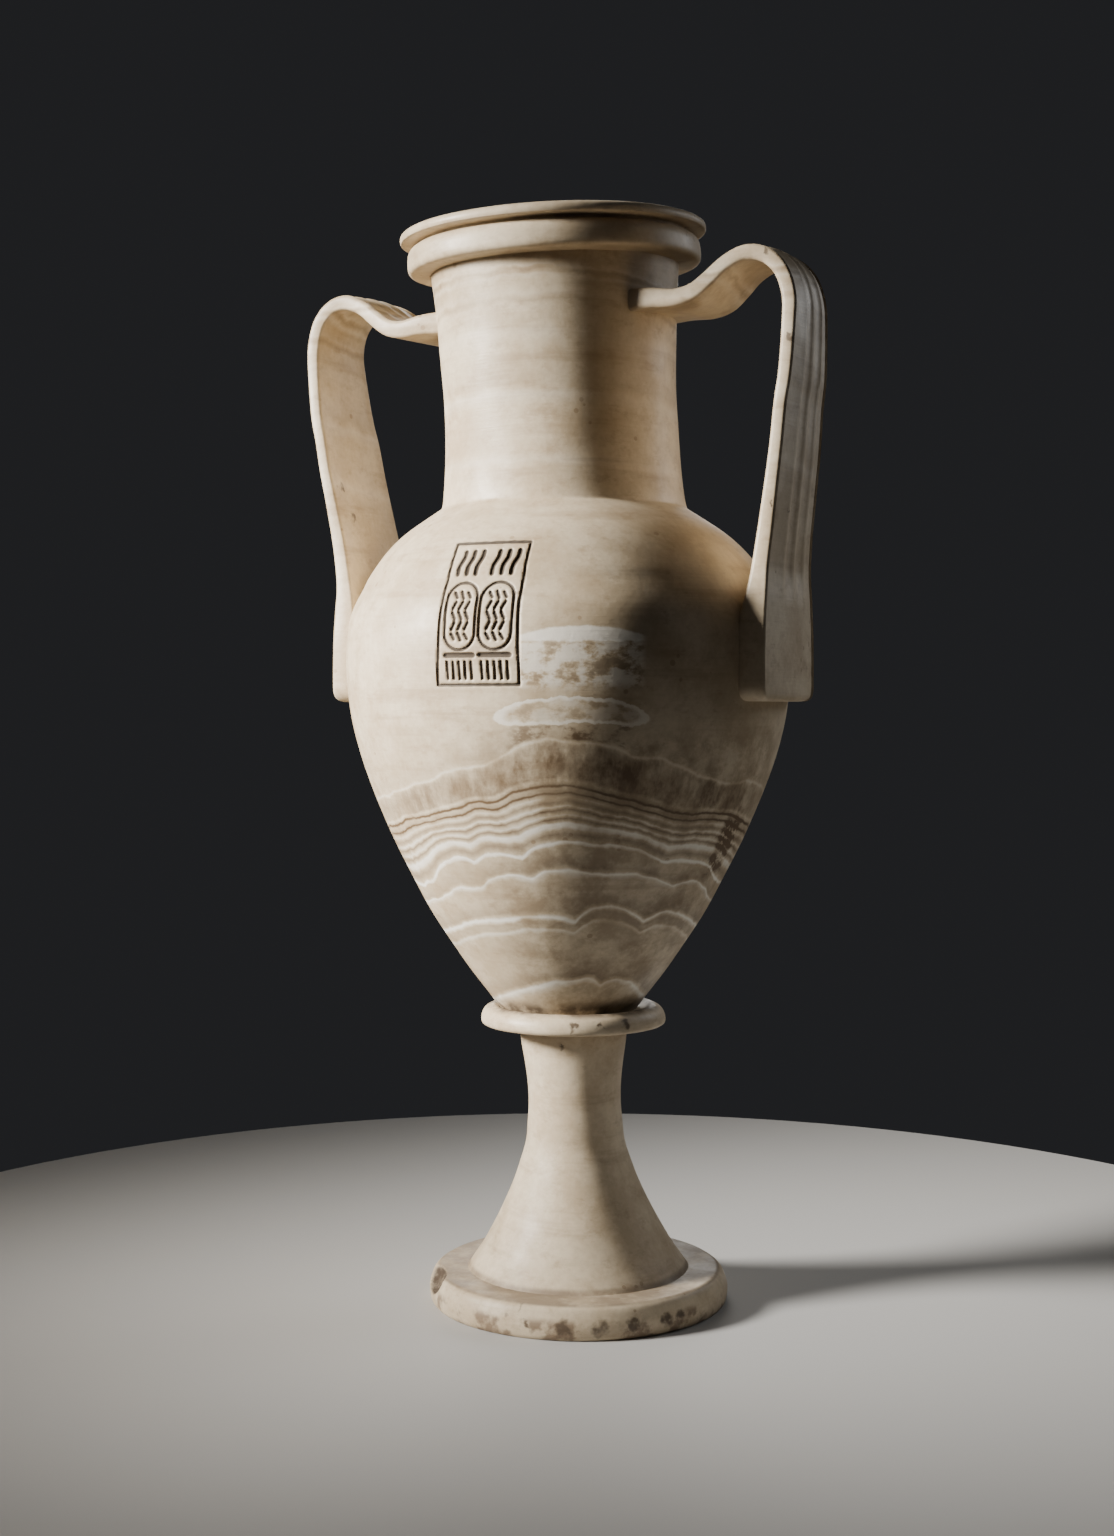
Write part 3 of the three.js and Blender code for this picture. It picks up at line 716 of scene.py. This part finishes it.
def makeBandedStone():
    material = bpy.data.materials.new("bandedCalcite")
    material.use_nodes = True
    tree = material.node_tree
    surface = tree.nodes["Principled BSDF"]
    vector = addNode(tree, "ShaderNodeTexCoord").outputs["Object"]
    parts = addNode(tree, "ShaderNodeSeparateXYZ", inputs={0: vector})
    b = bandValues
    x = calc(tree, "SUBTRACT", parts.outputs["X"], b["axis"][0] / 1000)
    y = calc(tree, "SUBTRACT", parts.outputs["Y"], b["axis"][1] / 1000)
    z = parts.outputs["Z"]
    turn = calc(tree, "ARCTAN2", x, calc(tree, "MULTIPLY", y, -1.0))
    middle = math.radians(28)
    towards = calc(tree, "SUBTRACT", calc(tree, "MULTIPLY", x, math.sin(middle)), calc(tree, "MULTIPLY", y, math.cos(middle)))
    across = calc(tree, "ADD", calc(tree, "MULTIPLY", x, math.cos(middle)), calc(tree, "MULTIPLY", y, math.sin(middle)))
    away = calc(tree, "ABSOLUTE", calc(tree, "SUBTRACT", turn, middle))
    wander = calc(tree, "SUBTRACT", noiseAt(tree, stretched(tree, vector, (1, 1, 0.5)), 70, 4, 0.55), 0.5)
    bent = calc(tree, "ADD", z, calc(tree, "MULTIPLY", wander, 0.0045))
    heights = [bandLine(tree, turn, knots) for _, knots in b["lines"]]
    levels = [level / 1000 for level, _ in b["lines"]]
    below = calc(tree, "MINIMUM", calc(tree, "SUBTRACT", bent, heights[0]), 0.0)
    above = calc(tree, "MAXIMUM", calc(tree, "SUBTRACT", bent, heights[-1]), 0.0)
    level = calc(tree, "ADD", calc(tree, "ADD", below, above), levels[0])
    for low, high, first, last in zip(heights, heights[1:], levels, levels[1:]):
        level = calc(tree, "ADD", level, ranged(tree, bent, low, high, 0.0, last - first, smooth=False))
    lower = toneRamp(tree, level, b["lower"])
    upper = toneRamp(tree, level, b["upper"])
    tone = blendColor(tree, calc(tree, "GREATER_THAN", level, 0.292), lower, upper)
    fade = calc(tree, "MULTIPLY", ranged(tree, away, 2.3, 1.1, 0.15, 1.0), ranged(tree, level, 0.365, 0.35))
    patchy = ranged(tree, noiseAt(tree, vector, 24, 3, 0.55), 0.3, 0.56, 0.5, 1.0)
    fade = calc(tree, "MULTIPLY", fade, patchy)
    toneValue = calc(tree, "MULTIPLY", calc(tree, "MULTIPLY", calc(tree, "SUBTRACT", tone, 0.5), fade), 1.25)

    # upright fibres between the dark line and the arc, and painted shade: a cloudy darkening of the ground in the
    # middle and on the right, where the body turns away from the key light
    fibres = noiseAt(tree, stretched(tree, vector, (120, 120, 34)), 1.0, 4, 0.65)
    belt = calc(tree, "MULTIPLY", ranged(tree, level, 0.3464, 0.3446), ranged(tree, level, 0.3225, 0.326))
    belt = calc(tree, "MULTIPLY", belt, ranged(tree, away, 1.5, 0.7))
    belt = calc(tree, "MULTIPLY", belt, ranged(tree, fibres, 0.32, 0.68, -0.2, 0.03))
    # painted shade on the middle and right of the body, broken into clouds by noise
    paintedShadeRight = calc(tree, "MULTIPLY", ranged(tree, turn, -0.25, 0.35), ranged(tree, turn, 2.2, 1.3))
    paintedShadeRight = calc(tree, "MULTIPLY", paintedShadeRight, ranged(tree, z, 0.36, 0.34))
    paintedShadeRight = calc(tree, "MULTIPLY", paintedShadeRight, ranged(tree, noiseAt(tree, vector, 48, 5, 0.65), 0.34, 0.66, -0.17, 0.05))
    toneValue = calc(tree, "ADD", toneValue, calc(tree, "ADD", belt, paintedShadeRight))

    # pale lens, mottled patch and crescent above the bands
    ragged = calc(tree, "MULTIPLY", calc(tree, "SUBTRACT", noiseAt(tree, vector, 130, 4, 0.6), 0.5), 0.006)
    side = calc(tree, "DIVIDE", calc(tree, "SUBTRACT", across, 0.002), 0.034)
    sideSquare = calc(tree, "MULTIPLY", side, side)
    lensLine = calc(tree, "ADD", calc(tree, "SUBTRACT", z, 0.4052), calc(tree, "MULTIPLY", sideSquare, 0.0024))
    lensLine = calc(tree, "ABSOLUTE", calc(tree, "ADD", lensLine, calc(tree, "MULTIPLY", ragged, 0.5)))
    front = ranged(tree, towards, 0.0, 0.02)
    within = calc(tree, "MULTIPLY", ranged(tree, sideSquare, 1.15, 0.85), front)
    lensHalf = calc(tree, "ADD", calc(tree, "MULTIPLY", sideSquare, -0.0026), 0.0044)
    lens = calc(tree, "MULTIPLY", ranged(tree, calc(tree, "SUBTRACT", lensHalf, lensLine), -0.0006, 0.0009), within)
    inPatch = calc(tree, "MULTIPLY", ranged(tree, calc(tree, "ADD", z, ragged), 0.372, 0.38), ranged(tree, z, 0.4035, 0.399))
    inPatch = calc(tree, "MULTIPLY", inPatch, within)
    blots = noiseAt(tree, stretched(tree, vector, (1, 1, 1.6)), 75, 4, 0.65)
    patchTone = calc(tree, "MULTIPLY", ranged(tree, blots, 0.38, 0.58, -0.24, 0.3), inPatch)
    moonSide = calc(tree, "DIVIDE", calc(tree, "ADD", across, 0.0035), 0.0435)
    moonSquare = calc(tree, "MULTIPLY", moonSide, moonSide)
    moonMiddle = calc(tree, "ADD", calc(tree, "SUBTRACT", z, 0.363), calc(tree, "MULTIPLY", moonSquare, 0.0045))
    moonHigh = calc(tree, "DIVIDE", calc(tree, "ADD", moonMiddle, ragged), 0.0074)
    depthIn = calc(tree, "ADD", calc(tree, "MULTIPLY", moonSquare, moonSquare), calc(tree, "MULTIPLY", moonHigh, moonHigh))
    depthIn = calc(tree, "SUBTRACT", 1.0, depthIn)
    inMoon = calc(tree, "MULTIPLY", ranged(tree, depthIn, -0.06, 0.1), front)
    moonEdge = calc(tree, "MULTIPLY", inMoon, ranged(tree, depthIn, 0.62, 0.3))
    inMoon = calc(tree, "SUBTRACT", inMoon, moonEdge)
    moonTone = calc(tree, "ADD", calc(tree, "MULTIPLY", moonEdge, 0.34),
                    calc(tree, "MULTIPLY", inMoon, ranged(tree, blots, 0.38, 0.6, -0.16, 0.14)))
    under = calc(tree, "MULTIPLY", ranged(tree, z, 0.356, 0.3535), ranged(tree, level, 0.3465, 0.3485))
    under = calc(tree, "MULTIPLY", under, calc(tree, "MULTIPLY", ranged(tree, moonSquare, 0.8, 0.4), front))
    under = calc(tree, "MULTIPLY", under, ranged(tree, blots, 0.42, 0.58, 0.0, -0.3))
    toneValue = calc(tree, "ADD", toneValue, calc(tree, "ADD", calc(tree, "MULTIPLY", lens, 0.42), under))
    toneValue = calc(tree, "ADD", toneValue, calc(tree, "ADD", patchTone, moonTone))
    jagged = calc(tree, "MULTIPLY", ranged(tree, turn, 1.36, 1.42), ranged(tree, turn, 1.62, 1.54))
    jagged = calc(tree, "MULTIPLY", jagged, calc(tree, "MULTIPLY", ranged(tree, z, 0.262, 0.272), ranged(tree, z, 0.304, 0.294)))
    jagged = calc(tree, "MULTIPLY", jagged, ranged(tree, noiseAt(tree, vector, 95, 4, 0.7), 0.4, 0.56, 0.0, -0.6))
    toneValue = calc(tree, "ADD", toneValue, jagged)

    # faint level bands on the neck and shoulder
    neckLevel = calc(tree, "ADD", z, calc(tree, "ADD", calc(tree, "MULTIPLY", y, 0.065), calc(tree, "MULTIPLY", wander, 0.007)))
    neckTone = toneRamp(tree, neckLevel, [
        (470, 0.5), (496, 0.44), (503, 0.6), (510, 0.46), (534, 0.5), (541, 0.62), (547, 0.42), (566, 0.5),
        (576, 0.58), (583, 0.44), (590, 0.56), (593, 0.34), (596, 0.58), (603, 0.46), (606, 0.64), (609, 0.3),
        (611, 0.62), (615, 0.4), (622, 0.52), (660, 0.5),
    ])
    toneValue = calc(tree, "ADD", toneValue, calc(tree, "MULTIPLY", calc(tree, "SUBTRACT", neckTone, 0.5),
                     ranged(tree, noiseAt(tree, vector, 18, 2, 0.5), 0.35, 0.6, 0.3, 0.9)))

    ground = addNode(tree, "ShaderNodeGroup", {"node_tree": stoneGround}, {
        "Vector": vector, "Base": (0.51, 0.4, 0.26, 1), "Pale": (0.66, 0.55, 0.39, 1),
        "Deep": (0.3, 0.2, 0.11, 1), "Pits": 0.7})
    color = blendColor(tree, calc(tree, "MULTIPLY", toneValue, 2.0, clamp=True), ground.outputs["Color"], (0.93, 0.88, 0.77, 1))
    color = blendColor(tree, calc(tree, "MULTIPLY", toneValue, -2.2, clamp=True), color, (0.15, 0.095, 0.05, 1))

    # old dirt in the carved lines and in small holes on the handles, and painted shade in the joint at the collar
    spots = calc(tree, "MULTIPLY", spotMask(tree, vector, handleSpots), 0.8)
    color = blendColor(tree, spots, color, (0.1, 0.07, 0.045, 1))
    fill = addNode(tree, "ShaderNodeAttribute", {"attribute_name": "fill"}).outputs["Fac"]
    color = blendColor(tree, ranged(tree, fill, 0.12, 0.6, 0.0, 0.92), color, (0.035, 0.024, 0.016, 1))
    mottleNoise = noiseAt(tree, vector, 85, 4, 0.6)
    # painted shade: the foot of the body is darkened where it sinks into the collar, mottled by noise
    joint = calc(tree, "MULTIPLY", ranged(tree, z, 0.192, 0.184), ranged(tree, mottleNoise, 0.35, 0.6, 0.3, 0.95))
    color = blendColor(tree, joint, color, (0.1, 0.07, 0.045, 1))
    connect(tree, color, surface.inputs["Base Color"])
    rough = ranged(tree, noiseAt(tree, vector, 40, 3, 0.5), 0.3, 0.7, 0.4, 0.56)
    rough = calc(tree, "ADD", rough, calc(tree, "MULTIPLY", fill, 0.35), clamp=True)
    connect(tree, rough, surface.inputs["Roughness"])
    bump = addNode(tree, "ShaderNodeBump", inputs={
        "Height": ground.outputs["Height"], "Strength": 0.28, "Distance": 0.0012})
    connect(tree, bump.outputs["Normal"], surface.inputs["Normal"])
    finishStone(surface)
    return material


def finishStone(surface):
    surface.inputs["IOR"].default_value = 1.5
    surface.inputs["Specular IOR Level"].default_value = 0.4


def makePlainStone():
    material = bpy.data.materials.new("plainCalcite")
    material.use_nodes = True
    tree = material.node_tree
    surface = tree.nodes["Principled BSDF"]
    vector = addNode(tree, "ShaderNodeTexCoord").outputs["Object"]
    parts = addNode(tree, "ShaderNodeSeparateXYZ", inputs={0: vector})
    z = parts.outputs["Z"]
    ground = addNode(tree, "ShaderNodeGroup", {"node_tree": stoneGround}, {
        "Vector": vector, "Base": (0.53, 0.42, 0.28, 1), "Pale": (0.68, 0.57, 0.41, 1),
        "Deep": (0.3, 0.205, 0.115, 1), "Pits": 0.6})
    color = ground.outputs["Color"]
    mottleNoise = noiseAt(tree, vector, 60, 4, 0.6)
    # dark stain on the lower side of the disc, together with painted shade on that side
    discSideStainAndShade = calc(tree, "MULTIPLY", ranged(tree, z, 0.014, 0.0095), ranged(tree, mottleNoise, 0.46, 0.6, 0.0, 0.75))
    color = blendColor(tree, discSideStainAndShade, color, (0.16, 0.1, 0.06, 1))
    spots = calc(tree, "MULTIPLY", spotMask(tree, vector, footSpots), ranged(tree, mottleNoise, 0.34, 0.5, 0.45, 0.9))
    color = blendColor(tree, spots, color, (0.1, 0.068, 0.042, 1))
    # the disc's flat top darkened: dirt, together with painted shade where the low light barely reaches it
    discTopDirtAndShade = calc(tree, "MULTIPLY", ranged(tree, z, 0.0185, 0.0198), ranged(tree, z, 0.024, 0.0212))
    discTopDirtAndShade = calc(tree, "MULTIPLY", discTopDirtAndShade, ranged(tree, noiseAt(tree, vector, 45, 5, 0.65), 0.3, 0.6, 0.3, 0.8))
    color = blendColor(tree, discTopDirtAndShade, color, (0.2, 0.145, 0.095, 1))
    # painted shade in the joint where the vessel sits in the collar, mottled by noise
    seat = calc(tree, "MULTIPLY", ranged(tree, z, 0.1795, 0.1825), ranged(tree, mottleNoise, 0.35, 0.6, 0.2, 0.9))
    color = blendColor(tree, seat, color, (0.1, 0.07, 0.045, 1))
    fill = addNode(tree, "ShaderNodeAttribute", {"attribute_name": "fill"}).outputs["Fac"]
    # painted shade inside the chip on the disc's rim: the deeper the chip, the darker its surface
    chipPaintedShade = calc(tree, "MULTIPLY", fill, ranged(tree, noiseAt(tree, vector, 160, 4, 0.7), 0.3, 0.6, 0.72, 0.98))
    color = blendColor(tree, chipPaintedShade, color, (0.07, 0.047, 0.03, 1))
    connect(tree, color, surface.inputs["Base Color"])
    rough = ranged(tree, mottleNoise, 0.3, 0.7, 0.42, 0.58)
    rough = calc(tree, "ADD", rough, calc(tree, "MULTIPLY", fill, 0.35), clamp=True)
    connect(tree, rough, surface.inputs["Roughness"])
    bump = addNode(tree, "ShaderNodeBump", inputs={
        "Height": ground.outputs["Height"], "Strength": 0.28, "Distance": 0.0012})
    connect(tree, bump.outputs["Normal"], surface.inputs["Normal"])
    finishStone(surface)
    return material


for piece, material, node, slot in (
    (vessel, makeBandedStone(), "vessel", "banded_calcite"),
    (foot, makePlainStone(), "foot", "plain_calcite"),
):
    piece.data.materials.append(material)
    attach(piece, "root")
    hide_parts(node)
print("stone finished")

# --- studio: a pale floor, a soft key from the left, a weak fill from the right and one from behind
studioValues = {
    "floorRadius": 0.56, "floorColor": (0.5, 0.49, 0.47, 1), "keyPower": 6.5, "keySize": 0.45, "keySpread": 34,
    "fillPower": 0.35, "backPower": 1.2, "worldStrength": 0.02, "worldColor": (0.9, 0.92, 1, 1),
}


def makeFloor():
    radius = studioValues["floorRadius"]
    ring = [(radius * math.sin(a), radius * math.cos(a), 0) for a in np.linspace(0, 2 * math.pi, 128, endpoint=False)]
    mesh = bpy.data.meshes.new("paleFloor")
    mesh.from_pydata(ring, [], [list(range(len(ring)))[::-1]])
    floor = bpy.data.objects.new("paleFloor", mesh)
    bpy.context.scene.collection.objects.link(floor)
    material = bpy.data.materials.new("palePaper")
    material.use_nodes = True
    surface = material.node_tree.nodes["Principled BSDF"]
    surface.inputs["Base Color"].default_value = studioValues["floorColor"]
    surface.inputs["Roughness"].default_value = 0.9
    mesh.materials.append(material)


def addLight(name, turn, distance, height, size, power, color, spread=180):
    data = bpy.data.lights.new(name, "AREA")
    data.shape, data.size, data.energy, data.color = "DISK", size, power, color
    data.spread = math.radians(spread)
    light = bpy.data.objects.new(name, data)
    angle = math.radians(turn)
    light.location = (distance * math.sin(angle), -distance * math.cos(angle), height)
    aim = -light.location.copy()
    aim.z += 0.36
    light.rotation_euler = aim.to_track_quat("-Z", "Y").to_euler()
    bpy.context.scene.collection.objects.link(light)


makeFloor()
addLight("keyLight", -50, 1.7, 0.95, studioValues["keySize"], studioValues["keyPower"], (1, 0.97, 0.93),
         studioValues["keySpread"])
addLight("fillLight", 140, 0.95, 0.8, 0.5, studioValues["fillPower"], (0.95, 0.97, 1), 60)
addLight("backLight", -154, 1.5, 1.0, 0.9, studioValues["backPower"], (1, 0.98, 0.95), 60)
world = bpy.data.worlds.new("softWorld")
world.use_nodes = True
world.node_tree.nodes["Background"].inputs["Color"].default_value = studioValues["worldColor"]
world.node_tree.nodes["Background"].inputs["Strength"].default_value = studioValues["worldStrength"]
bpy.context.scene.world = world

# --- camera at the photograph's viewpoint
cameraValues = {"turn": 26, "distance": 1.23, "height": 0.364, "left": 0.0135, "pitchDown": 1.7, "lens": 46.875}
turn = math.radians(cameraValues["turn"])
lensData = bpy.data.cameras.new("photoCamera")
lensData.lens, lensData.sensor_width, lensData.sensor_fit = cameraValues["lens"], 36, "AUTO"
camera = bpy.data.objects.new("photoCamera", lensData)
camera.location = (
    math.sin(turn) * cameraValues["distance"] - math.cos(turn) * cameraValues["left"],
    -math.cos(turn) * cameraValues["distance"] - math.sin(turn) * cameraValues["left"],
    cameraValues["height"],
)
camera.rotation_euler = (math.radians(90 - cameraValues["pitchDown"]), 0, turn)
bpy.context.scene.collection.objects.link(camera)
bpy.context.scene.camera = camera
print("studio and camera placed")
